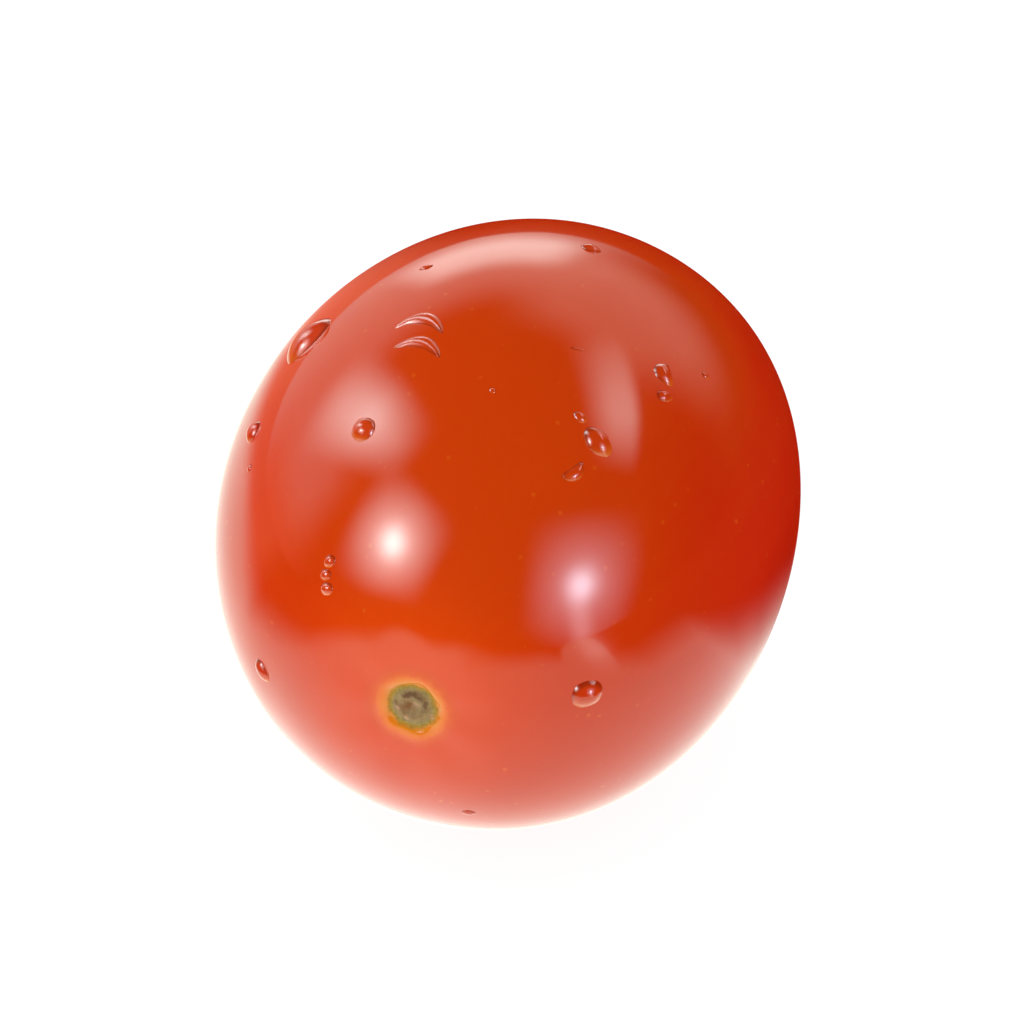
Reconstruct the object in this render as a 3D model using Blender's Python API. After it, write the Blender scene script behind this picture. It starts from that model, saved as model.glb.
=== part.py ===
"""A grape tomato: one whole ripe fruit, as picked, lying on its side.

The long axis runs along Y. The stem scar faces -Y and the blossom end faces +Y. The fruit is one solid,
because it grew as one piece: the dimple, the corky scar and the blossom tip are relief on its skin.
It rests on the small flat that its own weight presses into the skin. The origin is the bottom centre.
"""

import math

import bmesh
import bpy
from mathutils import Matrix, Vector

# Driving dimensions, in metres
LENGTH = 0.0324
DIAMETER = 0.0252
FLAT_DEPTH = 0.00028

# Form of the body, as shares of the radius
STEM_FULLNESS = 0.030
BLUNTNESS = 0.965
BEND = 0.0004

# Low swells of the skin: how many go round the fruit, how many along it, phase in radians, height in metres
SWELLS = (
    (2, 1, 0.50, 0.000130),
    (3, 2, 2.10, 0.000085),
    (5, 1, 4.00, 0.000030),
)

# The stem end: a shallow dimple, and in it the cork plate that the stalk left
DIMPLE_DEPTH = 0.00042
DIMPLE_RADIUS = 0.0028
SCAR_RADIUS = 0.00122
SCAR_SINK = 0.00008
SCAR_EDGE = 0.00013
SCAR_CORNERS = 5
SCAR_WOBBLE = 0.05
LIP_HEIGHT = 0.00006
LIP_WIDTH = 0.00028
BUNDLE_RING_RADIUS = 0.00062
BUNDLE_RING_HEIGHT = 0.00014
BUNDLE_RING_WIDTH = 0.00017
PIT_DEPTH = 0.00010
PIT_RADIUS = 0.00026

# The blossom end: a faint hollow round a tiny dry tip
HOLLOW_DEPTH = 0.00016
HOLLOW_RADIUS = 0.0019
TIP_HEIGHT = 0.00026
TIP_RADIUS = 0.00030

# Mesh
SEGMENTS = 64
RINGS = 56
POLE_CROWDING = 0.86

# The cork's paint, the slab that presses the flat, and the finishes
CORK_REACH = 0.00084
EDGE_STEEPNESS = 4
SLAB_WIDTH = 2 * LENGTH
SLAB_DEPTH = DIAMETER / 2
SKIN_COLOUR = (0.60, 0.035, 0.008, 1.0)
SKIN_ROUGHNESS = 0.18
SCAR_COLOUR = (0.42, 0.33, 0.15, 1.0)
SCAR_ROUGHNESS = 0.75


def clear_scene():
    for old in list(bpy.data.objects):
        bpy.data.objects.remove(old, do_unlink=True)


def make_material(name, colour, roughness):
    material = bpy.data.materials.new(name)
    material.use_nodes = True
    shader = material.node_tree.nodes["Principled BSDF"]
    shader.inputs["Base Color"].default_value = colour
    shader.inputs["Roughness"].default_value = roughness
    shader.inputs["Metallic"].default_value = 0.0
    return material


def bump(distance, width):
    """A round hill of height 1 at distance 0."""
    return math.exp(-((distance / width) ** 2))


def crowded(share):
    """The polar angle at this share of the rings, with the rings crowded towards both ends."""
    return math.pi * share - POLE_CROWDING / 2 * math.sin(2 * math.pi * share)


def swell(polar, around):
    """Height of the skin's low swells. They fade out at both ends."""
    total = sum(
        height * math.cos(turns * around + phase) * math.sin(halves * polar)
        for turns, halves, phase, height in SWELLS
    )
    return total * math.sin(polar)


def scar_relief(radius, around):
    """Height of the stem scar's relief, outwards, at this distance from the axis."""
    wobble = 1 + SCAR_WOBBLE * math.cos(SCAR_CORNERS * around)
    past_edge = (radius - SCAR_RADIUS * wobble) / SCAR_EDGE
    plate = 1 / (1 + math.exp(EDGE_STEEPNESS * past_edge))
    lip = LIP_HEIGHT * bump(radius - SCAR_RADIUS * wobble - LIP_WIDTH, LIP_WIDTH)
    bundle_ring = BUNDLE_RING_HEIGHT * bump(radius - BUNDLE_RING_RADIUS, BUNDLE_RING_WIDTH)
    pit = PIT_DEPTH * bump(radius, PIT_RADIUS)
    return lip + bundle_ring - pit - SCAR_SINK * plate


def skin_point(polar, around):
    """A point of the skin. The polar angle runs from the stem end, 0, to the blossom end, pi."""
    radius = DIAMETER / 2 * math.sin(polar) ** BLUNTNESS * (1 + STEM_FULLNESS * math.cos(polar))
    radius += swell(polar, around)
    along = -LENGTH / 2 * math.cos(polar)
    if polar < math.pi / 2:
        along += DIMPLE_DEPTH * bump(radius, DIMPLE_RADIUS) - scar_relief(radius, around)
    else:
        along += TIP_HEIGHT * bump(radius, TIP_RADIUS) - HOLLOW_DEPTH * bump(radius, HOLLOW_RADIUS)
    sideways = BEND * (2 * along / LENGTH) ** 2
    return Vector((radius * math.cos(around) + sideways, along, radius * math.sin(around)))


def fruit_mesh():
    """The whole skin, from a sphere whose two poles become the stem end and the blossom end."""
    mesh = bpy.data.meshes.new("fruit")
    shape = bmesh.new()
    bmesh.ops.create_uvsphere(shape, u_segments=SEGMENTS, v_segments=RINGS, radius=1.0)
    for vertex in shape.verts:
        x, y, z = vertex.co
        share = math.acos(max(-1.0, min(1.0, z))) / math.pi
        vertex.co = skin_point(crowded(share), math.atan2(y, x))
    bmesh.ops.recalc_face_normals(shape, faces=shape.faces)
    shape.to_mesh(mesh)
    shape.free()
    return mesh


def place_on_surface(mesh):
    """Moves the skin so that its box is centred on the origin and dips below the surface by the flat's depth."""
    lows = [min(v.co[i] for v in mesh.vertices) for i in range(3)]
    highs = [max(v.co[i] for v in mesh.vertices) for i in range(3)]
    middle_x = (lows[0] + highs[0]) / 2
    middle_y = (lows[1] + highs[1]) / 2
    mesh.transform(Matrix.Translation((-middle_x, -middle_y, -lows[2] - FLAT_DEPTH)))


def paint_scar(mesh):
    """Gives the faces of the cork plate their own material. They are the ones close round the stem end."""
    reach = min(v.co.y for v in mesh.vertices) + CORK_REACH
    stem_end = [v.co for v in mesh.vertices if v.co.y < reach]
    centre = sum(stem_end, Vector()) / len(stem_end)
    for face in mesh.polygons:
        off = face.center - centre
        if face.center.y < reach and math.hypot(off.x, off.z) < SCAR_RADIUS:
            face.material_index = 1


def surface_cutter(collection):
    """A slab below the surface, which presses the resting flat into the skin."""
    bpy.ops.mesh.primitive_cube_add(size=1.0)
    slab = bpy.context.object
    slab.name = "surface_slab"
    slab.scale = (SLAB_WIDTH, SLAB_WIDTH, SLAB_DEPTH)
    slab.location.z = -SLAB_DEPTH / 2
    slab.hide_render = True
    slab.display_type = "WIRE"
    slab.users_collection[0].objects.unlink(slab)
    collection.objects.link(slab)
    return slab


def make_fruit(collection, slab):
    mesh = fruit_mesh()
    place_on_surface(mesh)
    mesh.materials.append(make_material("tomato_skin", SKIN_COLOUR, SKIN_ROUGHNESS))
    mesh.materials.append(make_material("scar_cork", SCAR_COLOUR, SCAR_ROUGHNESS))
    paint_scar(mesh)
    mesh.shade_smooth()
    fruit = bpy.data.objects.new("fruit", mesh)
    collection.objects.link(fruit)
    flat = fruit.modifiers.new("resting_flat", "BOOLEAN")
    flat.operation = "DIFFERENCE"
    flat.solver = "EXACT"
    flat.object = slab
    return fruit


def main():
    clear_scene()
    parts = bpy.data.collections.new("grape_tomato")
    cutters = bpy.data.collections.new("cutters")
    bpy.context.scene.collection.children.link(parts)
    bpy.context.scene.collection.children.link(cutters)
    slab = surface_cutter(cutters)
    make_fruit(parts, slab)


main()
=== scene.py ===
import math

import bpy
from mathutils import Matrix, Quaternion, Vector
from mathutils.bvhtree import BVHTree


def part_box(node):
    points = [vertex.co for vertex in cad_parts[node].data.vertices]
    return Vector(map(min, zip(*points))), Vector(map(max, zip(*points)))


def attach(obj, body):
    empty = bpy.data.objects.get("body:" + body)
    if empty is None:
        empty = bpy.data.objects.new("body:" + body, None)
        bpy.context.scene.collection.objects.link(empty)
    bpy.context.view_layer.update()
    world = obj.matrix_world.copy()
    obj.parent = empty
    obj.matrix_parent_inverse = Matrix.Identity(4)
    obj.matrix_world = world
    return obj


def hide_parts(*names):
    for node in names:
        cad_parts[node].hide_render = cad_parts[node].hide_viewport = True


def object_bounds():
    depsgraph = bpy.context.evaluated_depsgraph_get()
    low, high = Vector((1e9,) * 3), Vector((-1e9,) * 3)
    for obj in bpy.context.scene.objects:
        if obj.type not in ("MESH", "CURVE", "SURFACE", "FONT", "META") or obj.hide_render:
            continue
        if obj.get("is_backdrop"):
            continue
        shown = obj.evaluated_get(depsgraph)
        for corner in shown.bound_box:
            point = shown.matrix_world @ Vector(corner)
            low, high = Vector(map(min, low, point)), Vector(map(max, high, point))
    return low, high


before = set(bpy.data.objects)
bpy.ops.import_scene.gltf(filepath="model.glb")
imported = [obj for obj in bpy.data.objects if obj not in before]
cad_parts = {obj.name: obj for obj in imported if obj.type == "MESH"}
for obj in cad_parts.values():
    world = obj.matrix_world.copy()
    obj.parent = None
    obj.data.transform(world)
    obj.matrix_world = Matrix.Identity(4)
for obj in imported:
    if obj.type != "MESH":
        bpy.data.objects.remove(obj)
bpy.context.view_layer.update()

# How the fruit stands in the photograph, whose frame is 1024 pixels each way
photo = {
    "azimuth": 17.0,                 # degrees, the camera stands this far round towards +X
    "elevation": 32.5,               # degrees above the surface
    "fruitCentre": (238.2, 579.9),   # pixels, the middle of the fruit's box
    "blush": (224.0, 556.0),         # pixels, the middle of the orange side
    "pixelsPerMetre": 6300.0,
}

camera = {
    "lens": 300.0,                   # mm on a 36 mm sensor
    "sensor": 36.0,
    "enlarge": 3.55,                 # how much larger than in the photograph the fruit is shown
    "frame": 1024,                   # pixels
    "nearest": 0.01,                 # metres, between which things are drawn
    "farthest": 10.0,
}

mmPerMetre = 1000.0


class Field:                         # a node socket that takes plain arithmetic
    def __init__(self, tree, socket):
        self.tree = tree
        self.socket = socket

    def math(self, operation, *others):
        return mathNode(self.tree, operation, self, *others)

    def __add__(self, other):
        return self.math("ADD", other)

    def __radd__(self, other):
        return self.math("ADD", other)

    def __sub__(self, other):
        return self.math("SUBTRACT", other)

    def __rsub__(self, other):
        return mathNode(self.tree, "SUBTRACT", other, self)

    def __mul__(self, other):
        return self.math("MULTIPLY", other)

    def __truediv__(self, other):
        return self.math("DIVIDE", other)

    def __rtruediv__(self, other):
        return mathNode(self.tree, "DIVIDE", other, self)

    def __pow__(self, other):
        return self.math("POWER", other)

    def __neg__(self):
        return self.math("MULTIPLY", -1.0)


def plug(tree, value, slot):
    if isinstance(value, Field):
        tree.links.new(value.socket, slot)
    else:
        slot.default_value = value


def mathNode(tree, operation, *values):
    node = tree.nodes.new("ShaderNodeMath")
    node.operation = operation
    for value, slot in zip(values, node.inputs):
        plug(tree, value, slot)
    return Field(tree, node.outputs[0])


def vectorNode(tree, operation, first, second=None, scale=None):
    node = tree.nodes.new("ShaderNodeVectorMath")
    node.operation = operation
    plug(tree, first, node.inputs[0])
    if second is not None:
        plug(tree, second, node.inputs[1])
    if scale is not None:
        plug(tree, scale, node.inputs["Scale"])
    isNumber = operation in ("DOT_PRODUCT", "LENGTH", "DISTANCE")
    return Field(tree, node.outputs["Value" if isNumber else "Vector"])


def addNode(tree, kind, output=0, settings=None, **inputs):
    node = tree.nodes.new(kind)
    for name, value in (settings or {}).items():
        setattr(node, name, value)
    for name, value in inputs.items():
        plug(tree, value, node.inputs[name.replace("_", " ")])
    return Field(tree, node.outputs[output])


def splitVector(tree, vector):
    node = tree.nodes.new("ShaderNodeSeparateXYZ")
    plug(tree, vector, node.inputs[0])
    return [Field(tree, socket) for socket in node.outputs]


def joinVector(tree, x, y, z):
    return addNode(tree, "ShaderNodeCombineXYZ", X=x, Y=y, Z=z)


def moved(tree, start, direction, distance):
    return vectorNode(tree, "ADD", start, vectorNode(tree, "SCALE", direction, scale=distance))


def hill(distance, width):           # a round hill of height 1 where the distance is 0
    share = distance / width
    return (-(share * share)).math("EXPONENT")


def step(value, low, high):          # 0 below low, 1 above high, smooth between them
    return addNode(value.tree, "ShaderNodeMapRange", "Result", {"interpolation_type": "SMOOTHSTEP"},
                   Value=value, From_Min=low, From_Max=high)


def noise(tree, vector, scale, detail, roughness):   # about 0.5 on average
    return addNode(tree, "ShaderNodeTexNoise", "Fac",
                   Vector=vector, Scale=scale, Detail=detail, Roughness=roughness)


def newTree(name, sizes):            # an empty tree with one named input for each size
    tree = bpy.data.node_groups.new(name, "GeometryNodeTree")
    tree.interface.new_socket("Geometry", in_out="OUTPUT", socket_type="NodeSocketGeometry")
    kinds = {int: "NodeSocketInt", float: "NodeSocketFloat", bpy.types.Object: "NodeSocketObject",
             bpy.types.Material: "NodeSocketMaterial"}
    for label, value in sizes.items():
        kind = next(kinds[k] for k in kinds if isinstance(value, k))
        tree.interface.new_socket(label, in_out="INPUT", socket_type=kind)
    source = tree.nodes.new("NodeGroupInput")
    return tree, {label: Field(tree, source.outputs[label]) for label in sizes}


def position(tree):
    return addNode(tree, "GeometryNodeInputPosition")


def unitBall(tree, size):
    return addNode(tree, "GeometryNodeMeshUVSphere", Segments=size["Segments"], Rings=size["Rings"],
                   Radius=1.0)


def endTree(tree, geometry, material, others=()):    # real geometry with its materials, as the last steps
    real = addNode(tree, "GeometryNodeRealizeInstances", Geometry=geometry)
    smooth = addNode(tree, "GeometryNodeSetShadeSmooth", Geometry=real)
    dressed = addNode(tree, "GeometryNodeSetMaterial", Geometry=smooth, Material=material)
    for faces, other in others:
        dressed = addNode(tree, "GeometryNodeSetMaterial", Geometry=dressed, Selection=faces,
                          Material=other)
    plug(tree, dressed, tree.nodes.new("NodeGroupOutput").inputs[0])


def growPiece(name, tree, sizes):    # runs a tree once and keeps its result as a plain mesh
    piece = bpy.data.objects.new(name, bpy.data.meshes.new(name))
    bpy.context.scene.collection.objects.link(piece)
    modifier = piece.modifiers.new(name, "NODES")
    modifier.node_group = tree
    for socket in tree.interface.items_tree:
        if socket.in_out == "INPUT":
            modifier[socket.identifier] = sizes[socket.name]
    bpy.context.view_layer.update()
    grown = bpy.data.meshes.new_from_object(piece.evaluated_get(bpy.context.evaluated_depsgraph_get()))
    piece.modifiers.remove(modifier)
    piece.data = grown
    grown.name = name
    print(f"{name}: {sum(len(face.vertices) - 2 for face in grown.polygons)} triangles")
    return piece


# The fruit: the same form as its solid, with finer relief
fruitSizes = {                       # metres, and shares of the radius
    "Segments": 360,
    "Rings": 256,
    "Pole crowding": 0.86,
    "Length": 0.0324,
    "Diameter": 0.0252,
    "Flat depth": 0.00028,
    "Flat softness": 0.00012,
    "Stem fullness": 0.030,
    "Bluntness": 0.965,
    "Bend": 0.0004,
    "Dimple depth": 0.00042,
    "Dimple radius": 0.0028,
    "Scar radius": 0.00122,
    "Scar sink": 0.00008,
    "Scar edge": 0.00013,
    "Scar steepness": 4.0,
    "Scar wobble": 0.05,
    "Lip height": 0.00006,
    "Lip width": 0.00028,
    "Bundle ring radius": 0.00062,
    "Bundle ring height": 0.00014,
    "Bundle ring width": 0.00017,
    "Pit depth": 0.00010,
    "Pit radius": 0.00026,
    "Cork grain": 0.00022,
    "Cork grain height": 0.00007,
    "Cork detail": 4.0,
    "Cork roughness": 0.65,
    "Hollow depth": 0.00016,
    "Hollow radius": 0.0019,
    "Tip height": 0.00026,
    "Tip radius": 0.00030,
    "Pleat height": 0.00003,
}
fruitSwells = (                      # how many round the fruit, how many along it, phase, height in metres
    (2, 1, 0.50, 0.000130),
    (3, 2, 2.10, 0.000085),
    (5, 1, 4.00, 0.000030),
)
fruitPleats = 7                      # faint pleats of the shoulder round the scar
scarCorners = 5


def scarRelief(tree, size, radius, around):      # outwards from the stem end
    wobble = 1 + size["Scar wobble"] * (around * scarCorners).math("COSINE")
    edge = size["Scar radius"] * wobble
    pastEdge = (radius - edge) / (size["Scar edge"] / size["Scar steepness"])
    plate = 1 / (1 + pastEdge.math("EXPONENT"))
    lip = size["Lip height"] * hill(radius - edge - size["Lip width"], size["Lip width"])
    flat = joinVector(tree, radius * around.math("COSINE"), 0.0, radius * around.math("SINE"))
    grain = noise(tree, flat, 1 / size["Cork grain"], size["Cork detail"], size["Cork roughness"]) - 0.5
    ring = hill(radius - size["Bundle ring radius"] + grain * size["Bundle ring width"],
                size["Bundle ring width"]) * size["Bundle ring height"]
    pit = size["Pit depth"] * hill(radius, size["Pit radius"])
    cork = size["Cork grain height"] * grain - size["Scar sink"]
    return lip + ring - pit + cork * plate


def skinPlace(tree, size):           # where the points of a ball go on the skin; its poles are the two ends
    x, y, z = splitVector(tree, position(tree))
    share = z.math("MAXIMUM", -1.0).math("MINIMUM", 1.0).math("ARCCOSINE") / math.pi
    polar = share * math.pi - size["Pole crowding"] / 2 * (share * 2 * math.pi).math("SINE")
    around = y.math("ARCTAN2", x)
    sine = polar.math("SINE").math("MAXIMUM", 0.0)
    cosine = polar.math("COSINE")
    radius = size["Diameter"] / 2 * sine ** size["Bluntness"] * (1 + size["Stem fullness"] * cosine)
    for turns, halves, phase, height in fruitSwells:
        wave = (around * turns + phase).math("COSINE") * (polar * halves).math("SINE")
        radius = radius + wave * height * sine
    stemHalf = polar.math("LESS_THAN", math.pi / 2)
    pleats = (around * fruitPleats).math("COSINE") * size["Pleat height"]
    shoulder = hill(radius - size["Dimple radius"], size["Dimple radius"] / 2)
    stemEnd = size["Dimple depth"] * hill(radius, size["Dimple radius"]) + pleats * shoulder
    stemEnd = stemEnd - scarRelief(tree, size, radius, around)
    blossomEnd = size["Tip height"] * hill(radius, size["Tip radius"])
    blossomEnd = blossomEnd - size["Hollow depth"] * hill(radius, size["Hollow radius"])
    along = -(size["Length"] / 2 * cosine) + stemEnd * stemHalf + blossomEnd * (1 - stemHalf)
    alongShare = along * 2 / size["Length"]
    sideways = size["Bend"] * alongShare * alongShare
    across = radius * around.math("COSINE") + sideways
    return joinVector(tree, across, along, radius * around.math("SINE"))


def settle(tree, size, body):        # centres the fruit over the origin and presses its resting flat
    box = tree.nodes.new("GeometryNodeBoundBox")
    plug(tree, body, box.inputs[0])
    low = splitVector(tree, Field(tree, box.outputs["Min"]))
    high = splitVector(tree, Field(tree, box.outputs["Max"]))
    x, y, z = splitVector(tree, position(tree))
    height = z - low[2] - size["Flat depth"]
    pressed = height.math("SMOOTH_MAX", 0.0, size["Flat softness"])
    place = joinVector(tree, x - (low[0] + high[0]) / 2, y - (low[1] + high[1]) / 2, pressed)
    return addNode(tree, "GeometryNodeSetPosition", Geometry=body, Position=place)


def fruitTree(sizes):
    tree, size = newTree("fruit form", sizes)
    ball = unitBall(tree, size)
    body = addNode(tree, "GeometryNodeSetPosition", Geometry=ball, Position=skinPlace(tree, size))
    endTree(tree, settle(tree, size, body), size["Skin"])
    return tree


# The skin: red over orange flesh, with the cork of the scar and the dry blossom tip. Each noise is given as
# scale, detail and roughness; each fade as where it starts and where it is complete
skinColours = {                      # linear red, green, blue
    "red": (0.625, 0.0185, 0.0005, 1.0),
    "deep": (0.495, 0.0055, 0.0004, 1.0),
    "orange": (0.685, 0.058, 0.0009, 1.0),
    "stemEnd": (0.92, 0.085, 0.0016, 1.0),
    # the pale specks' colour, also used as the painted light low in each drop
    "speckAndPaintedLight": (0.88, 0.24, 0.02, 1.0),
}
skinPattern = {
    "clouds": (130.0, 2.0, 0.5),
    "streaks": (1.0, 3.0, 0.6),
    "streaksRound": 9.0,             # how dense the streaks are round the fruit, and along it
    "streaksAlong": 60.0,
    "cloudPull": 0.9,                # how far clouds and streaks move the borders between the colours
    "streakPull": 0.35,
    "orangeFade": (0.25, 1.05),      # 1 is the middle of the orange side, -1 is opposite
    "orangeShare": 0.85,
    "deepFade": (0.40, -0.40),
    "shoulderFade": (0.013, 0.001),  # metres from the stem end, the orange round it
    "shoulderPull": 0.004,
    "shoulderShare": 0.60,
    "warmFade": (7.0, 2.0),          # mm from the scar's middle, the brighter orange close to it
    "warmPull": 4.0,
    "warmShare": 0.46,
    "speckScale": 1150.0,            # pale specks under the skin, thinner than a hair
    "speckFade": (0.17, 0.06),       # shares of their spacing
    "speckStreaks": (0.0, 0.12),     # they follow the streaks
    "speckShare": 0.22,
}
scarBands = (                        # distance from the middle in mm, colour
    (0.00, (0.39, 0.26, 0.13, 1.0)),
    (0.86, (0.38, 0.28, 0.12, 1.0)),
    (1.00, (0.42, 0.28, 0.055, 1.0)),
    (1.11, (0.56, 0.25, 0.026, 1.0)),
    (1.22, (0.80, 0.25, 0.013, 1.0)),
    (1.46, (0.84, 0.185, 0.007, 1.0)),
    (1.70, (0.78, 0.105, 0.003, 1.0)),
    (2.10, (0.72, 0.075, 0.002, 1.0)),
)
scarReach = 2.6                      # mm, the end of the bands' scale
scarMarks = {                        # mm, but for the noises and shares
    "ragged": (2100.0, 3.0, 0.6),
    "patches": (1500.0, 1.0, 0.5),
    "grain": (6000.0, 3.0, 0.7),
    "bandRagged": 0.34,              # how far the noise moves each edge
    "skinRagged": 0.5,
    "skinFade": (2.4, 1.55),         # from the skin's colour to the bands
    "corkRagged": 0.22,
    "corkFade": (1.21, 1.06),
    "ringRadius": 0.62,              # the broken dark ring of bundles
    "ringWidth": 0.17,
    "ringRagged": 0.5,
    "ringPatches": (0.36, 0.52),
    "ringUpFade": (-0.4, 0.2),       # above the middle, where the ring is darker
    "ringLowShare": 0.2,
    "ringShare": 0.9,
    "ringColour": (0.13, 0.068, 0.036, 1.0),
    "darkGrain": (0.56, 0.32),
    "darkGrainShare": 0.38,
    "paleGrain": (0.58, 0.74),
    "paleGrainShare": 0.40,
    "paleColour": (0.62, 0.36, 0.22, 1.0),
}
scarSpots = (                        # places as mm across and up from the scar's middle
    {"places": ((-0.20, -0.08),), "width": 0.26, "ragged": 0.3, "share": 0.85,
     "colour": (0.27, 0.10, 0.035, 1.0)},
    {"places": ((0.10, 0.06), (-0.26, -0.62), (0.86, -0.40), (-0.66, -0.16)), "width": 0.13, "ragged": 0.2,
     "share": 0.8, "colour": scarMarks["paleColour"]},
)
tipMarks = {                         # mm from the middle of the dry tip
    "ragged": 0.2,
    "fade": (0.42, 0.20),
    "colour": (0.16, 0.085, 0.035, 1.0),
    "haloFade": (2.4, 0.3),          # the orange round the tip
    "haloShare": 0.55,
}
skinGloss = {                        # a glossy cuticle over softer flesh
    "Coat Roughness": 0.07,
    "Coat IOR": 1.56,
    "IOR": 1.30,
    "Specular IOR Level": 0.03,
    "Subsurface Weight": 0.35,
    "Subsurface Radius": (1.0, 0.22, 0.08),
    "Subsurface Scale": 0.0016,      # metres
}
skinRelief = {                       # too fine for the mesh
    "roughness": 0.30,
    "streakRoughness": 0.08,         # more of it on the streaks
    "dryRoughness": 0.5,             # and on cork and tip
    "waves": (420.0, 1.0, 0.5),
    "peel": (2600.0, 1.0, 0.5),
    "peelShare": 0.10,
    "height": 0.0000055,             # metres
}
wetSkin = {                          # painted shade at the drop's rim, painted light low in it
    "rimPull": 0.35,
    "paintedLightFade": (0.25, 1.05),
    "paintedLightShare": 0.55,
    "lowPull": 0.5,
    "paintedShadeFade": (0.55, 1.10),
    "paintedShadeShare": 0.42,
    "light": 0.96,
}
wetGloss = {"Roughness": 0.6, "IOR": 1.1}


def ramp(tree, value, bands, reach):
    node = tree.nodes.new("ShaderNodeValToRGB")
    stops = node.color_ramp.elements
    stops.remove(stops[1])
    for index, (place, colour) in enumerate(bands):
        stop = stops[0] if index == 0 else stops.new(place / reach)
        stop.position = place / reach
        stop.color = colour
    plug(tree, value / reach, node.inputs[0])
    return Field(tree, node.outputs["Color"])


def mixColours(tree, share, first, second):
    node = tree.nodes.new("ShaderNodeMix")
    node.data_type = "RGBA"
    plug(tree, share, node.inputs["Factor"])
    plug(tree, first, node.inputs[6])    # the colour sockets of a node that mixes numbers and vectors too
    plug(tree, second, node.inputs[7])
    return Field(tree, node.outputs[2])


def mixShaders(tree, share, first, second):
    node = tree.nodes.new("ShaderNodeMixShader")
    for value, slot in zip((share, first, second), node.inputs):
        plug(tree, value, slot)
    return Field(tree, node.outputs[0])


def newMaterial(name):
    material = bpy.data.materials.new(name)
    material.use_nodes = True
    return material


def setSockets(shader, values):
    for name, value in values.items():
        shader.inputs[name].default_value = value


def skinPatterns(tree, place, marks):    # how far round from the deep red side, clouds and streaks
    axisHeight = (marks["scar"].z + marks["tip"].z) / 2
    blush = Vector((marks["blush"].x, 0, marks["blush"].z - axisHeight)).normalized()
    centred = vectorNode(tree, "SUBTRACT", place, (0.0, 0.0, axisHeight))
    outward = vectorNode(tree, "NORMALIZE", vectorNode(tree, "MULTIPLY", centred, (1.0, 0.0, 1.0)))
    side = vectorNode(tree, "DOT_PRODUCT", outward, tuple(blush))
    clouds = noise(tree, place, *skinPattern["clouds"]) - 0.5
    outX, _, outZ = splitVector(tree, outward)
    _, y, _ = splitVector(tree, place)
    dense = skinPattern["streaksRound"]
    streakPlace = joinVector(tree, outX * dense, outZ * dense, y * skinPattern["streaksAlong"])
    streaks = noise(tree, streakPlace, *skinPattern["streaks"]) - 0.5
    return side, clouds, streaks


def paintFlesh(tree, place, marks, side, clouds, streaks):
    ripe = side + clouds * skinPattern["cloudPull"] + streaks * skinPattern["streakPull"]
    orange = step(ripe, *skinPattern["orangeFade"]) * skinPattern["orangeShare"]
    colour = mixColours(tree, orange, skinColours["red"], skinColours["orange"])
    colour = mixColours(tree, step(ripe, *skinPattern["deepFade"]), colour, skinColours["deep"])
    _, y, _ = splitVector(tree, place)
    fromStem = y - marks["scar"].y + clouds * skinPattern["shoulderPull"]
    shoulder = step(fromStem, *skinPattern["shoulderFade"]) * skinPattern["shoulderShare"]
    colour = mixColours(tree, shoulder, colour, skinColours["orange"])
    fromScar = vectorNode(tree, "DISTANCE", place, tuple(marks["scar"])) * mmPerMetre
    warm = step(fromScar + clouds * skinPattern["warmPull"], *skinPattern["warmFade"])
    colour = mixColours(tree, warm * skinPattern["warmShare"], colour, skinColours["stemEnd"])
    cells = addNode(tree, "ShaderNodeTexVoronoi", "Distance", Vector=place, Scale=skinPattern["speckScale"])
    specks = step(cells, *skinPattern["speckFade"]) * step(streaks, *skinPattern["speckStreaks"])
    return mixColours(tree, specks * skinPattern["speckShare"], colour, skinColours["speckAndPaintedLight"])


def paintScar(tree, place, marks, colour):       # gives the colour, where there is cork, and the noise
    _, y, _ = splitVector(tree, place)
    scarX, _, scarZ = splitVector(tree, vectorNode(tree, "SUBTRACT", place, tuple(marks["scar"])))
    flat = joinVector(tree, scarX, 0.0, scarZ)
    distance = vectorNode(tree, "LENGTH", flat) * mmPerMetre
    ragged = noise(tree, flat, *scarMarks["ragged"]) - 0.5
    patches = noise(tree, flat, *scarMarks["patches"])
    grain = noise(tree, flat, *scarMarks["grain"])
    stemHalf = y.math("LESS_THAN", 0.0)

    bands = ramp(tree, distance + ragged * scarMarks["bandRagged"], scarBands, scarReach)
    banded = step(distance + ragged * scarMarks["skinRagged"], *scarMarks["skinFade"]) * stemHalf
    colour = mixColours(tree, banded, colour, bands)
    cork = step(distance + ragged * scarMarks["corkRagged"], *scarMarks["corkFade"]) * stemHalf

    lowShare = scarMarks["ringLowShare"]
    upper = step(scarZ * mmPerMetre, *scarMarks["ringUpFade"]) * (1 - lowShare) + lowShare
    fromRing = distance + ragged * scarMarks["ringRagged"] - scarMarks["ringRadius"]
    ring = hill(fromRing, scarMarks["ringWidth"]) * upper * step(patches, *scarMarks["ringPatches"])
    colour = mixColours(tree, cork * ring * scarMarks["ringShare"], colour, scarMarks["ringColour"])

    for spot in scarSpots:
        spots = 0.0
        for across, up in spot["places"]:
            middle = (across / mmPerMetre, 0.0, up / mmPerMetre)
            toMiddle = vectorNode(tree, "DISTANCE", flat, middle) * mmPerMetre
            spots = hill(toMiddle + ragged * spot["ragged"], spot["width"]) + spots
        covered = cork * spots.math("MINIMUM", 1.0) * spot["share"]
        colour = mixColours(tree, covered, colour, spot["colour"])

    dark = cork * step(grain, *scarMarks["darkGrain"]) * scarMarks["darkGrainShare"]
    colour = mixColours(tree, dark, colour, scarMarks["ringColour"])
    pale = cork * step(grain, *scarMarks["paleGrain"]) * scarMarks["paleGrainShare"]
    return mixColours(tree, pale, colour, scarMarks["paleColour"]), cork, ragged


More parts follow.
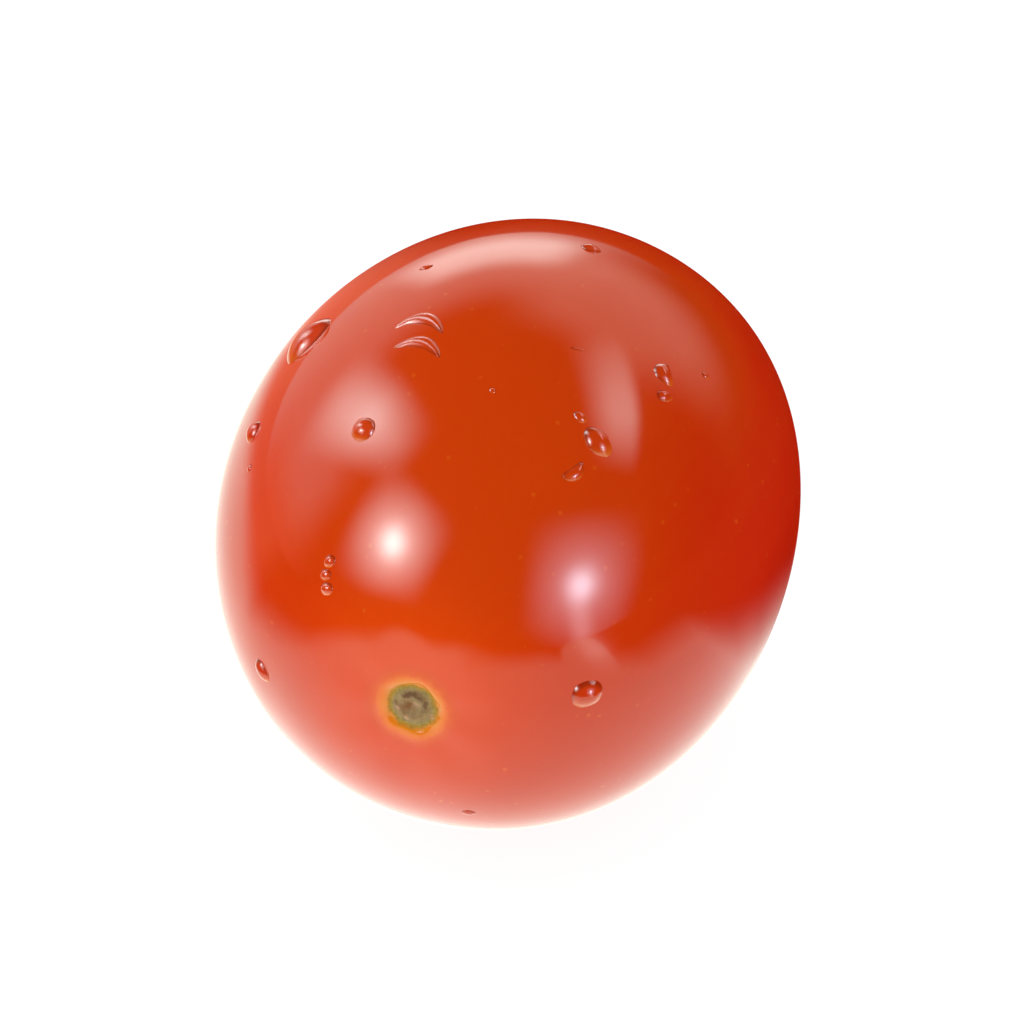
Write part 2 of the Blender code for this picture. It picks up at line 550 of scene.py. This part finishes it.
def paintTip(tree, place, marks, clouds, ragged, colour):
    off = vectorNode(tree, "SUBTRACT", place, tuple(marks["tip"]))
    distance = vectorNode(tree, "LENGTH", off) * mmPerMetre
    tip = step(distance + ragged * tipMarks["ragged"], *tipMarks["fade"])
    halo = step(distance + clouds, *tipMarks["haloFade"]) * tipMarks["haloShare"]
    colour = mixColours(tree, halo, colour, skinColours["orange"])
    return mixColours(tree, tip, colour, tipMarks["colour"]), tip


def wetFinish(tree, shader, colour):     # the skin that is seen through a drop, which has no gloss
    rim = addNode(tree, "ShaderNodeAttribute", "Fac", settings={"attribute_name": "rim"})
    lower = addNode(tree, "ShaderNodeAttribute", "Fac", settings={"attribute_name": "lower"})
    # the base colour carries painted light low in the drop and painted shade at its rim
    lit = step(lower + rim * wetSkin["rimPull"], *wetSkin["paintedLightFade"]) * wetSkin["paintedLightShare"]
    dark = step(rim - lower * wetSkin["lowPull"], *wetSkin["paintedShadeFade"]) * wetSkin["paintedShadeShare"]
    colour = vectorNode(tree, "SCALE", colour, scale=wetSkin["light"] - dark)
    colour = mixColours(tree, lit, colour, skinColours["speckAndPaintedLight"])
    plug(tree, colour, shader.inputs["Base Color"])
    setSockets(shader, wetGloss)


def dryFinish(tree, shader, colour, place, streaks, dry):
    plug(tree, colour, shader.inputs["Base Color"])
    roughness = skinRelief["roughness"] + streaks * skinRelief["streakRoughness"]
    plug(tree, roughness + dry * skinRelief["dryRoughness"], shader.inputs["Roughness"])
    plug(tree, 1.0 - dry, shader.inputs["Coat Weight"])
    setSockets(shader, skinGloss)
    waves = noise(tree, place, *skinRelief["waves"])
    peel = noise(tree, place, *skinRelief["peel"])
    relief = waves + peel * skinRelief["peelShare"]
    normal = addNode(tree, "ShaderNodeBump", "Normal", Distance=skinRelief["height"], Height=relief)
    plug(tree, normal, shader.inputs["Normal"])
    plug(tree, normal, shader.inputs["Coat Normal"])


def paintSkin(material, marks, isWet):
    tree = material.node_tree
    shader = tree.nodes["Principled BSDF"]
    place = addNode(tree, "ShaderNodeTexCoord", "Object")
    side, clouds, streaks = skinPatterns(tree, place, marks)
    colour = paintFlesh(tree, place, marks, side, clouds, streaks)
    colour, cork, ragged = paintScar(tree, place, marks, colour)
    colour, tip = paintTip(tree, place, marks, clouds, ragged, colour)
    if isWet:
        wetFinish(tree, shader, colour)
    else:
        dryFinish(tree, shader, colour, place, streaks, (cork + tip).math("MINIMUM", 1.0))


# The camera, at the photograph's viewing angle
def directions():                    # towards the camera, to its right and up its picture
    azimuth = math.radians(photo["azimuth"])
    elevation = math.radians(photo["elevation"])
    back = Vector((math.sin(azimuth) * math.cos(elevation), -math.cos(azimuth) * math.cos(elevation),
                   math.sin(elevation)))
    right = Vector((math.cos(azimuth), math.sin(azimuth), 0))
    return back, right, back.cross(right)


def placeCamera(target):
    back, _, _ = directions()
    width = camera["frame"] / (photo["pixelsPerMetre"] * camera["enlarge"])   # metres across at the fruit
    distance = width * camera["lens"] / camera["sensor"]
    eye = bpy.data.objects.new("camera", bpy.data.cameras.new("camera"))
    eye.data.lens = camera["lens"]
    eye.data.sensor_width = camera["sensor"]
    eye.data.clip_start = camera["nearest"]
    eye.data.clip_end = camera["farthest"]
    eye.location = target + back * distance
    eye.rotation_euler = back.to_track_quat("Z", "Y").to_euler()
    bpy.context.scene.collection.objects.link(eye)
    bpy.context.scene.camera = eye
    return eye


def sightLine(eye, target, pixel):   # the direction from the camera through a pixel of the photograph
    back, right, up = directions()
    distance = (eye.location - target).length
    across = (pixel[0] - photo["fruitCentre"][0]) / photo["pixelsPerMetre"]
    upwards = (photo["fruitCentre"][1] - pixel[1]) / photo["pixelsPerMetre"]
    return (right * across + up * upwards - back * distance).normalized()


def findOnSkin(skin, eye, target, pixel):        # the point and normal of the skin under a pixel
    line = sightLine(eye, target, pixel)
    point, normal, _, _ = skin.ray_cast(eye.location, line)
    if point is None:                # past the outline: the nearest skin
        reach = (target - eye.location).dot(line)
        point, normal, _, _ = skin.find_nearest(eye.location + line * reach)
    return point, normal


# Water drops: those that show, in pixels, and a seeded spread behind
dropsSeen = (                        # middle, length, width, turn in degrees, bend as a share of the width
    ((196.3, 556.6), 7.4, 7.6, 20, 0.0),
    ((212.6, 527.0), 16.4, 4.8, -34, -1.0),
    ((212.2, 533.4), 15.4, 4.6, -36, -0.8),
    ((186.8, 593.8), 4.2, 3.6, 20, 0.0),
    ((185.7, 597.6), 4.0, 3.4, 0, 0.0),
    ((186.0, 601.5), 4.4, 3.8, 0, 0.0),
    ((281.4, 541.0), 8.0, 6.0, 75, -0.3),
    ((281.2, 547.2), 5.6, 4.0, 20, 0.0),
    ((262.4, 560.0), 10.0, 7.4, -58, 0.0),
    ((257.4, 553.2), 4.2, 3.4, -40, 0.0),
    ((255.7, 568.6), 8.0, 4.0, 38, 0.3),
    ((259.4, 631.2), 9.6, 8.6, 0, 0.0),
    ((181.0, 531.5), 17.0, 11.0, 48, 0.0),
    ((165.4, 557.3), 7.0, 6.0, 60, 0.0),
    ((260.5, 505.8), 6.0, 4.4, -30, 0.0),
    ((167.9, 624.5), 7.4, 5.0, -50, 0.0),
    ((226.0, 664.5), 4.0, 2.6, -20, 0.0),
    ((232.7, 545.7), 2.2, 2.0, 0, 0.0),
    ((292.7, 541.5), 2.6, 2.2, 0, 0.0),
    ((214.0, 511.0), 4.4, 2.4, 10, 0.0),
    ((164.2, 567.6), 2.6, 2.0, 40, 0.0),
    ((257.0, 534.0), 5.0, 1.2, 5, 0.0),
)
dropSizes = {
    "Density": 26000.0,              # drops per square metre, before the spacing thins them
    "Spacing": 0.0032,               # metres
    "Seed": 23,
    "Turned away": -0.08,            # where the spread starts; 1 faces the camera, -1 faces away
    "Lowest": 0.004,                 # metres above the surface
    "Smallest": 0.00010,             # metres, half the length
    "Largest": 0.00062,
    "Narrowest": 0.62,               # width as a share of length
    "Most bend": 0.25,
    "Wetting": 67.0,                 # degrees, the angle at which the water meets the skin
    "Sink": 0.00003,                 # metres, the rim under the skin
    "Foot": 0.000008,                # metres, the foot's middle above the skin
    "Ragged": 0.16,                  # share of the half-width
    "Ragged shift": 9000.0,          # gives each drop its own outline
    "Segments": 40,
    "Rings": 22,
}
dropOutline = (1.1, 2.0, 0.5)        # the outline's noise
dropFootFade = (-0.02, -0.35)        # from rim to foot on the ball's lower half


def seenDrops(skin, eye, target):    # one vertex for each drop that shows, with its size and direction
    _, right, up = directions()
    halfPixel = 0.5 / photo["pixelsPerMetre"]
    rows = []
    for pixel, length, width, turn, bend in dropsSeen:
        point, normal = findOnSkin(skin, eye, target, pixel)
        angle = math.radians(turn)
        along = right * math.cos(angle) + up * math.sin(angle)
        along = (along - normal * along.dot(normal)).normalized()
        rows.append((point, normal, along, length * halfPixel, width * halfPixel, bend))
    mesh = bpy.data.meshes.new("seen drops")
    mesh.from_pydata([row[0] for row in rows], [], [])
    for name, kind, column in (("outward", "FLOAT_VECTOR", 1), ("lengthwise", "FLOAT_VECTOR", 2),
                               ("halfLength", "FLOAT", 3), ("halfWidth", "FLOAT", 4), ("bend", "FLOAT", 5)):
        layer = mesh.attributes.new(name, kind, "POINT")
        slot = "vector" if kind == "FLOAT_VECTOR" else "value"
        for item, row in zip(layer.data, rows):
            setattr(item, slot, row[column])
    drops = bpy.data.objects.new("seen drops", mesh)
    bpy.context.scene.collection.objects.link(drops)
    return drops


def keep(tree, geometry, name, value, kind="FLOAT", domain="POINT"):
    return addNode(tree, "GeometryNodeStoreNamedAttribute", settings={"data_type": kind, "domain": domain},
                   Geometry=geometry, Name=name, Value=value)


def recall(tree, name, kind="FLOAT"):
    return addNode(tree, "GeometryNodeInputNamedAttribute", settings={"data_type": kind}, Name=name)


def randomNode(tree, low, high, seed):
    node = tree.nodes.new("FunctionNodeRandomValue")
    node.data_type = "FLOAT"
    plug(tree, low, node.inputs[2])      # the number sockets of a node that draws vectors too
    plug(tree, high, node.inputs[3])
    plug(tree, seed, node.inputs["Seed"])
    return Field(tree, node.outputs[1])


def spreadDrops(tree, size, fruit):  # on the side away from the camera, none of them low on the fruit
    back, _, _ = directions()
    facing = vectorNode(tree, "DOT_PRODUCT", addNode(tree, "GeometryNodeInputNormal"), tuple(back))
    _, _, height = splitVector(tree, position(tree))
    hidden = facing.math("LESS_THAN", size["Turned away"])
    clear = height.math("GREATER_THAN", size["Lowest"])
    points = addNode(tree, "GeometryNodeDistributePointsOnFaces", "Points",
                     {"distribute_method": "POISSON"}, Mesh=fruit, Selection=hidden * clear,
                     Distance_Min=size["Spacing"], Density_Max=size["Density"], Seed=size["Seed"])
    outward = Field(tree, points.socket.node.outputs["Normal"])

    shrink = randomNode(tree, 0.0, 1.0, size["Seed"] + 1)
    shrink = shrink * shrink * shrink    # most of them small
    halfLength = size["Smallest"] + (size["Largest"] - size["Smallest"]) * shrink
    turn = randomNode(tree, 0.0, 2 * math.pi, size["Seed"] + 2)
    rise = randomNode(tree, -1.0, 1.0, size["Seed"] + 3)
    loose = joinVector(tree, turn.math("COSINE"), turn.math("SINE"), rise)
    lengthwise = vectorNode(tree, "NORMALIZE", vectorNode(tree, "CROSS_PRODUCT", outward, loose))
    halfWidth = halfLength * randomNode(tree, size["Narrowest"], 1.0, size["Seed"] + 4)
    bend = randomNode(tree, -size["Most bend"], size["Most bend"], size["Seed"] + 5)
    points = keep(tree, points, "outward", outward, "FLOAT_VECTOR")
    points = keep(tree, points, "lengthwise", lengthwise, "FLOAT_VECTOR")
    points = keep(tree, points, "halfLength", halfLength)
    points = keep(tree, points, "halfWidth", halfWidth)
    return keep(tree, points, "bend", bend)


def dropBalls(tree, size, points):   # a ball on each point, which keeps the places it had on the ball
    ball = keep(tree, unitBall(tree, size), "ball", position(tree), "FLOAT_VECTOR")
    _, _, faceHeight = splitVector(tree, position(tree))
    ball = keep(tree, ball, "below", faceHeight.math("LESS_THAN", 0.0), domain="FACE")
    drops = addNode(tree, "GeometryNodeInstanceOnPoints", Points=points, Instance=ball)
    return addNode(tree, "GeometryNodeRealizeInstances", Geometry=drops)


def nearestSkin(tree, fruit, place):
    return addNode(tree, "GeometryNodeSampleNearestSurface", "Value", {"data_type": "FLOAT_VECTOR"},
                   Mesh=fruit, Value=position(tree), Sample_Position=place)


def shapeDrops(tree, size, fruit, drops):
    ballX, ballY, ballZ = splitVector(tree, recall(tree, "ball", "FLOAT_VECTOR"))
    middle = recall(tree, "middle", "FLOAT_VECTOR")
    outward = recall(tree, "outward", "FLOAT_VECTOR")
    lengthwise = recall(tree, "lengthwise", "FLOAT_VECTOR")
    crosswise = vectorNode(tree, "CROSS_PRODUCT", outward, lengthwise)
    halfLength = recall(tree, "halfLength")
    halfWidth = recall(tree, "halfWidth")

    # The outline on the skin: a ragged oval, bent if the drop is
    ownPlace = moved(tree, joinVector(tree, ballX, ballY, 0.0), middle, size["Ragged shift"])
    wobble = 1 + (noise(tree, ownPlace, *dropOutline) - 0.5) * 2 * size["Ragged"]
    alongShift = ballX * halfLength * wobble
    acrossShift = (ballY * wobble + recall(tree, "bend") * (ballX * ballX * 2 - 1)) * halfWidth
    foot = moved(tree, moved(tree, middle, lengthwise, alongShift), crosswise, acrossShift)

    # The height: the ball's upper half becomes the dome, and the lower half lies in the skin
    wetting = size["Wetting"] * math.radians(1)
    capRadius = 1 / wetting.math("SINE")
    rim = 1 - ballZ * ballZ
    dome = (capRadius * capRadius - rim).math("SQRT") - capRadius * wetting.math("COSINE")
    above = ballZ.math("GREATER_THAN", 0.0)
    sunk = step(ballZ, *dropFootFade) * (size["Foot"] + size["Sink"])
    lift = dome * halfLength.math("MINIMUM", halfWidth) * above + sunk * (1 - above)
    place = moved(tree, nearestSkin(tree, fruit, foot), outward, lift - size["Sink"])

    # lower and rim place the painted light and painted shade of the skin seen through a drop
    shift = vectorNode(tree, "SUBTRACT", foot, middle)
    lower = vectorNode(tree, "DOT_PRODUCT", shift, (0.0, 0.0, -1.0)) / halfLength
    drops = keep(tree, drops, "lower", lower)
    drops = keep(tree, drops, "rim", rim.math("SQRT"))
    return addNode(tree, "GeometryNodeSetPosition", Geometry=drops, Position=place)


def dropTree(sizes):
    tree, size = newTree("water drops", sizes)
    fruit = addNode(tree, "GeometryNodeObjectInfo", "Geometry", Object=size["Fruit"])
    seen = addNode(tree, "GeometryNodeObjectInfo", "Geometry", Object=size["Seen drops"])
    seen = addNode(tree, "GeometryNodeMeshToPoints", Mesh=seen)
    both = tree.nodes.new("GeometryNodeJoinGeometry")
    plug(tree, spreadDrops(tree, size, fruit), both.inputs[0])
    plug(tree, seen, both.inputs[0])
    points = keep(tree, Field(tree, both.outputs[0]), "middle", position(tree), "FLOAT_VECTOR")
    drops = shapeDrops(tree, size, fruit, dropBalls(tree, size, points))
    isFoot = recall(tree, "below").math("GREATER_THAN", 0.5)
    endTree(tree, drops, size["Water"], [(isFoot, size["Wet skin"])])
    return tree


waterLook = {
    "Base Color": (1.0, 1.0, 1.0, 1.0),
    "Transmission Weight": 1.0,
    "Roughness": 0.0,
    "IOR": 1.333,
    "Coat Weight": 1.0,              # so that glints on such small drops still show
    "Coat Roughness": 0.10,
    "Coat IOR": 1.55,
}


def waterMaterial():                 # shadow rays pass straight through
    material = newMaterial("water")
    tree = material.node_tree
    shader = tree.nodes["Principled BSDF"]
    setSockets(shader, waterLook)
    forShadow = addNode(tree, "ShaderNodeLightPath", "Is Shadow Ray")
    clear = addNode(tree, "ShaderNodeBsdfTransparent")
    look = mixShaders(tree, forShadow, Field(tree, shader.outputs[0]), clear)
    plug(tree, look, tree.nodes["Material Output"].inputs["Surface"])
    return material


# The studio: a pale glowing floor, a pale wall and window behind, four soft lamps, and a red card that
# only gloss sees, with an opening round the fruit through which the floor shows
studio = {
    "discSides": 96,
    "floorRadius": 1.2,              # metres
    "floorDrop": 0.00002,
    "floorColour": (0.18, 0.18, 0.18, 1.0),
    "farColour": (0.0, 0.0, 0.0, 1.0),
    "floorGlow": 0.92,
    "farGlow": 0.99,
    "farFade": (0.06, 0.40),         # metres from the fruit, where the floor turns into the far floor
    "roomColour": (0.26, 0.009, 0.003),
    "evenLight": 0.87,               # what body colours are lit by, from above the surface
    "leftLight": 0.28,               # more of it from the left, less from the right
    "frontLight": 0.04,              # more of it from the camera's side, less from behind
    "seenWall": (0.99, 0.99, 0.99, 1.0),             # what the camera itself sees past the floor
}
floorFinish = {
    "Roughness": 0.9,
    "Specular IOR Level": 0.2,
    "Emission Color": (1.0, 1.0, 1.0, 1.0),
}


def addDisc(radius, height):
    bpy.ops.mesh.primitive_circle_add(vertices=studio["discSides"], radius=radius, fill_type="NGON",
                                      location=(0, 0, height))
    return bpy.context.object


def makeFloor():
    floor = addDisc(studio["floorRadius"], -studio["floorDrop"])
    floor.name = "floor"
    material = newMaterial("pale floor")
    material.cycles.emission_sampling = "NONE"       # wide enough to be met by chance
    tree = material.node_tree
    shader = tree.nodes["Principled BSDF"]
    distance = vectorNode(tree, "LENGTH", addNode(tree, "ShaderNodeTexCoord", "Object"))
    far = step(distance, *studio["farFade"])
    colour = mixColours(tree, far, studio["floorColour"], studio["farColour"])
    glow = studio["floorGlow"] + far * (studio["farGlow"] - studio["floorGlow"])
    setSockets(shader, floorFinish)
    plug(tree, colour, shader.inputs["Base Color"])
    plug(tree, glow, shader.inputs["Emission Strength"])
    floor.data.materials.append(material)
    floor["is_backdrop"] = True


redCard = {
    "colour": (0.42, 0.014, 0.003, 1.0),
    "leftColour": (1.05, 0.30, 0.19, 1.0),           # at the back left
    "radius": 1.19,                  # metres
    "height": 0.0004,
    "tint": (1.0, 0.98, 0.84, 1.0),  # what the opening lets through
    "fade": 0.42,                    # how softly the opening's edge fades
    "frontFade": 0.60,               # and how much softer in front
    "farthest": 0.60,                # metres
    "backLeftGlow": 0.1,             # extra light of the floor at the back left
    "nearGlow": 0.35,                # all round, close to the fruit
    "nearFade": (0.045, 0.010),      # metres
    "frontLeftGlow": 0.24,           # and further out at the front left
    "frontLeftFade": (0.16, 0.03),
    "standGlow": 1.5,                # the mirror image of a lamp stand, which runs outwards
    "standAngle": 45.0,              # degrees
    "standWidth": 5.0,
    "standFade": (0.035, 0.105),     # metres
}

# Degrees round the fruit from the camera, positive to its right: each side's edges, from outside to inside,
# and how far the opening reaches, in metres
cardSides = {
    "front": ((-72.0, -48.6), (36.0, 23.4)),
    "frontLeft": ((-90.0, -68.4), (3.6, -21.6)),
    "backLeft": ((-81.0, -104.4),),
    "leftColour": ((-176.4, -158.4), (-93.6, -111.6)),
}
cardOpening = (
    (-180, 0.012), (-168, 0.026), (-158, 0.050), (-140, 0.085), (-128, 0.105), (-119, 0.090), (-108, 0.060),
    (-95, 0.038), (-89, 0.041), (-76, 0.045), (-69, 0.050), (-58, 0.073), (-48, 0.118), (-40, 0.145),
    (-32, 0.220), (-23, 0.140), (-16, 0.118), (-4, 0.170), (23, 0.170), (32, 0.110), (38, 0.600),
    (44, 0.600), (49, 0.056), (58, 0.045), (68, 0.047), (76, 0.046), (82, 0.030), (88, 0.023), (101, 0.018),
    (125, 0.014), (180, 0.012),
)


def onSide(angle, name):             # 1 on this side of the card, 0 elsewhere
    share = 1.0
    for edge in cardSides[name]:
        share = step(angle, *edge) * share
    return share


def cardReach(tree, angle):          # how far the opening reaches at this angle, in metres
    farthest = redCard["farthest"]
    stops = [(degrees + 180, (*[reach / farthest] * 3, 1.0)) for degrees, reach in cardOpening]
    return ramp(tree, angle + 180, stops, 360) * farthest


def makeCard():                      # its edges give the reflections their outline
    card = addDisc(redCard["radius"], redCard["height"])
    card.name = "redCard"
    material = newMaterial("red card")
    material.cycles.emission_sampling = "NONE"
    tree = material.node_tree
    back, right, _ = directions()
    level = Vector((back.x, back.y, 0)).normalized()
    place = addNode(tree, "ShaderNodeTexCoord", "Object")
    forward = vectorNode(tree, "DOT_PRODUCT", place, tuple(level))
    sideways = vectorNode(tree, "DOT_PRODUCT", place, tuple(right))
    angle = sideways.math("ARCTAN2", forward) * math.degrees(1)
    distance = vectorNode(tree, "LENGTH", place)

    fade = redCard["fade"] + onSide(angle, "front") * redCard["frontFade"]
    covered = step(cardReach(tree, angle) / distance, 1 + fade, 1 - fade)
    colour = mixColours(tree, onSide(angle, "leftColour"), redCard["colour"], redCard["leftColour"])
    glow = addNode(tree, "ShaderNodeEmission", Color=colour)
    clear = addNode(tree, "ShaderNodeBsdfTransparent", Color=redCard["tint"])
    opened = mixShaders(tree, covered, clear, glow)

    near = step(distance, *redCard["nearFade"]) * redCard["nearGlow"]
    frontLeft = onSide(angle, "frontLeft") * redCard["frontLeftGlow"]
    near = near + step(distance, *redCard["frontLeftFade"]) * frontLeft
    backLeft = onSide(angle, "backLeft") * redCard["backLeftGlow"]
    stand = hill(angle - redCard["standAngle"], redCard["standWidth"]) * redCard["standGlow"]
    stand = stand * step(distance, *redCard["standFade"])
    extra = (backLeft + near) * (1 - covered) + stand
    total = tree.nodes.new("ShaderNodeAddShader")
    plug(tree, opened, total.inputs[0])
    plug(tree, addNode(tree, "ShaderNodeEmission", Strength=extra), total.inputs[1])
    tree.links.new(total.outputs[0], tree.nodes["Material Output"].inputs["Surface"])
    card.data.materials.append(material)
    card.visible_camera = False
    card.visible_diffuse = False
    card.visible_shadow = False
    card.visible_transmission = False
    card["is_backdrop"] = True


# Degrees from straight behind to the middle, positive to the left; half the width; heights of the foot and
# the top above the surface; and over how many degrees each edge fades
wallPatches = {
    "wall": {"middle": 18.0, "half": 28.0, "sideFade": 12.0, "foot": -4.0, "footFade": 1.0,
             "top": 34.0, "topFade": 9.0, "light": (0.78, 0.75, 0.69)},
    "leftWall": {"middle": 65.0, "half": 18.0, "sideFade": 12.0, "foot": 9.0, "footFade": 10.0,
                 "top": 34.0, "topFade": 10.0, "light": (0.78, 0.95, 0.90)},
    "leftFoot": {"middle": 65.0, "half": 18.0, "sideFade": 12.0, "foot": -4.0, "footFade": 1.0,
                 "top": 9.0, "topFade": 10.0, "light": (1.00, 0.34, 0.23)},
    "rightEnd": {"middle": -29.0, "half": 21.0, "sideFade": 12.0, "foot": 10.0, "footFade": 9.0,
                 "top": 44.0, "topFade": 8.0, "light": (0.80, 0.72, 0.62)},
    "stand": {"middle": -135.0, "half": 4.0, "sideFade": 4.0, "foot": -4.0, "footFade": 1.0,
              "top": 14.0, "topFade": 9.0, "light": (2.1, 2.0, 2.2)},
    "window": {"middle": 3.0, "half": 12.0, "sideFade": 4.0, "foot": 5.0, "footFade": 6.0,
               "top": 20.0, "topFade": 5.0, "light": (1.46, 1.80, 1.70)},
}


def wallPatch(tree, level, height, made):        # one patch's light along a ray
    turn = math.radians(photo["azimuth"] + made["middle"])
    middle = (-math.sin(turn), math.cos(turn), 0.0)
    off = vectorNode(tree, "DOT_PRODUCT", level, middle).math("ARCCOSINE") * math.degrees(1)
    above = height.math("ARCSINE") * math.degrees(1)
    across = step(off, made["half"] + made["sideFade"], made["half"] - made["sideFade"])
    upTo = step(above, made["top"] + made["topFade"], made["top"] - made["topFade"])
    upFrom = step(above, made["foot"] - made["footFade"], made["foot"] + made["footFade"])
    return vectorNode(tree, "SCALE", made["light"], scale=across * upTo * upFrom)


def makeWall():                      # the room as light: bright behind, dim red in front and above
    world = bpy.data.worlds.new("studio")
    bpy.context.scene.world = world
    world.use_nodes = True
    tree = world.node_tree
    background = tree.nodes["Background"]
    ray = vectorNode(tree, "NORMALIZE", addNode(tree, "ShaderNodeTexCoord", "Generated"))
    _, _, height = splitVector(tree, ray)
    level = vectorNode(tree, "NORMALIZE", vectorNode(tree, "MULTIPLY", ray, (1.0, 1.0, 0.0)))
    light = studio["roomColour"]
    for made in wallPatches.values():
        light = vectorNode(tree, "ADD", light, wallPatch(tree, level, height, made))
    back, right, _ = directions()
    front = Vector((back.x, back.y, 0)).normalized()
    even = studio["evenLight"] - vectorNode(tree, "DOT_PRODUCT", ray, tuple(right)) * studio["leftLight"]
    even = even + vectorNode(tree, "DOT_PRODUCT", ray, tuple(front)) * studio["frontLight"]
    seen = addNode(tree, "ShaderNodeLightPath", "Is Camera Ray")
    forBody = addNode(tree, "ShaderNodeLightPath", "Diffuse Depth").math("GREATER_THAN", 0.5)
    lit = mixColours(tree, forBody, light, vectorNode(tree, "SCALE", (1.0, 1.0, 1.0), scale=even))
    plug(tree, mixColours(tree, seen, lit, studio["seenWall"]), background.inputs["Color"])
    background.inputs["Strength"].default_value = 1.0
    world.cycles.sampling_method = "NONE"            # wide enough to be met by chance


# The glint is the lamp's middle, as a pixel of the photograph; sizes are in metres; the fades of the left,
# right, lower and upper side are shares of half the size; glow and core are light
lamps = {
    "keyLamp": {"glint": (204.8, 588.2), "size": (0.45, 0.45), "turn": 0, "fade": (1.0, 1.0, 1.0, 1.0),
                "glow": 7.6, "core": 13.0, "colour": (0.88, 1.0, 0.98)},
    "fillLamp": {"glint": (257.0, 600.6), "size": (0.49, 0.51), "turn": -30, "fade": (1.0, 1.0, 1.0, 1.0),
                 "glow": 3.9, "core": 12.0, "colour": (0.66, 0.84, 1.0)},
    "leftLamp": {"glint": (198.4, 553.8), "size": (0.28, 0.54), "turn": -34, "fade": (1.0, 1.0, 1.0, 1.0),
                 "glow": 5.5, "core": 1.4, "colour": (0.74, 1.0, 0.98)},
    "rightLamp": {"glint": (266.3, 548.6), "size": (0.40, 0.17), "turn": 0, "fade": (0.9, 1.2, 0.5, 1.2),
                  "glow": 3.2, "core": 0.0, "colour": (0.90, 1.0, 0.96)},
}
lampDistance = 0.45                  # metres
coreWidth = 0.05


def lightLamp(lamp, made):           # a soft rectangle of light with a bright core
    lamp.data.use_nodes = True
    tree = lamp.data.node_tree
    fromCorner = addNode(tree, "ShaderNodeNewGeometry", "Parametric")        # 0 to 1 across the lamp
    spot = vectorNode(tree, "SUBTRACT", fromCorner, (0.5, 0.5, 0.0))
    u, v, _ = splitVector(tree, vectorNode(tree, "SCALE", spot, scale=2.0))
    left, right, lower, upper = made["fade"]
    glow = step(u, -1.0, left - 1.0) * step(u, 1.0, 1.0 - right)
    glow = glow * step(v, -1.0, lower - 1.0) * step(v, 1.0, 1.0 - upper) * made["glow"]
    off = vectorNode(tree, "MULTIPLY", spot, (*made["size"], 0.0))
    core = hill(vectorNode(tree, "LENGTH", off), coreWidth) * made["core"]
    plug(tree, core + glow, tree.nodes["Emission"].inputs["Strength"])


def makeLamps(skin, eye, target):
    for name, made in lamps.items():
        width, height = made["size"]
        point, normal = findOnSkin(skin, eye, target, made["glint"])
        away = sightLine(eye, target, made["glint"]).reflect(normal)
        lamp = bpy.data.objects.new(name, bpy.data.lights.new(name, "AREA"))
        lamp.data.shape = "RECTANGLE"
        lamp.data.size = width
        lamp.data.size_y = height
        lamp.data.color = made["colour"]
        lamp.data.energy = math.pi * width * height      # the node's strength is then the radiance
        lamp.location = point + away * lampDistance
        facing = away.to_track_quat("Z", "Y") @ Quaternion((0, 0, 1), math.radians(made["turn"]))
        lamp.rotation_euler = facing.to_euler()
        lamp.visible_camera = False
        lamp.visible_diffuse = False     # the even light lights the body colours
        lamp.visible_transmission = False
        lightLamp(lamp, made)
        bpy.context.scene.collection.objects.link(lamp)
        print(f"{name} at {tuple(round(part, 3) for part in lamp.location)}")


def main():
    skinMade = newMaterial("tomato skin")
    wetMade = newMaterial("wet skin")
    fruitValues = {**fruitSizes, "Skin": skinMade}
    fruit = growPiece("tomato", fruitTree(fruitValues), fruitValues)
    vertices = fruit.data.vertices
    low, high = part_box("fruit")
    print("solid", [round(part, 5) for part in (*low, *high)])
    target = (low + high) / 2
    eye = placeCamera(target)
    skin = BVHTree.FromPolygons([v.co for v in vertices], [p.vertices for p in fruit.data.polygons])
    marks = {                        # the first and last vertices are the ball's poles, the fruit's ends
        "scar": vertices[0].co.copy(),
        "tip": vertices[len(vertices) - 1].co.copy(),
        "blush": findOnSkin(skin, eye, target, photo["blush"])[0],
    }
    print("scar", marks["scar"], "tip", marks["tip"])
    paintSkin(skinMade, marks, False)
    paintSkin(wetMade, marks, True)
    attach(fruit, "root")
    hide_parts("fruit")
    print("fruit in place")

    seen = seenDrops(skin, eye, target)
    dropValues = {**dropSizes, "Fruit": fruit, "Seen drops": seen, "Water": waterMaterial(),
                  "Wet skin": wetMade}
    drops = growPiece("waterDrops", dropTree(dropValues), dropValues)
    bpy.data.objects.remove(seen)
    drops.visible_diffuse = False    # the skin under a drop is lit as the rest is
    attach(drops, "root")
    print("drops in place")

    makeFloor()
    makeCard()
    makeWall()
    makeLamps(skin, eye, target)
    bpy.context.scene.view_settings.view_transform = "Standard"
    print("studio in place")
    low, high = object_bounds()


main()
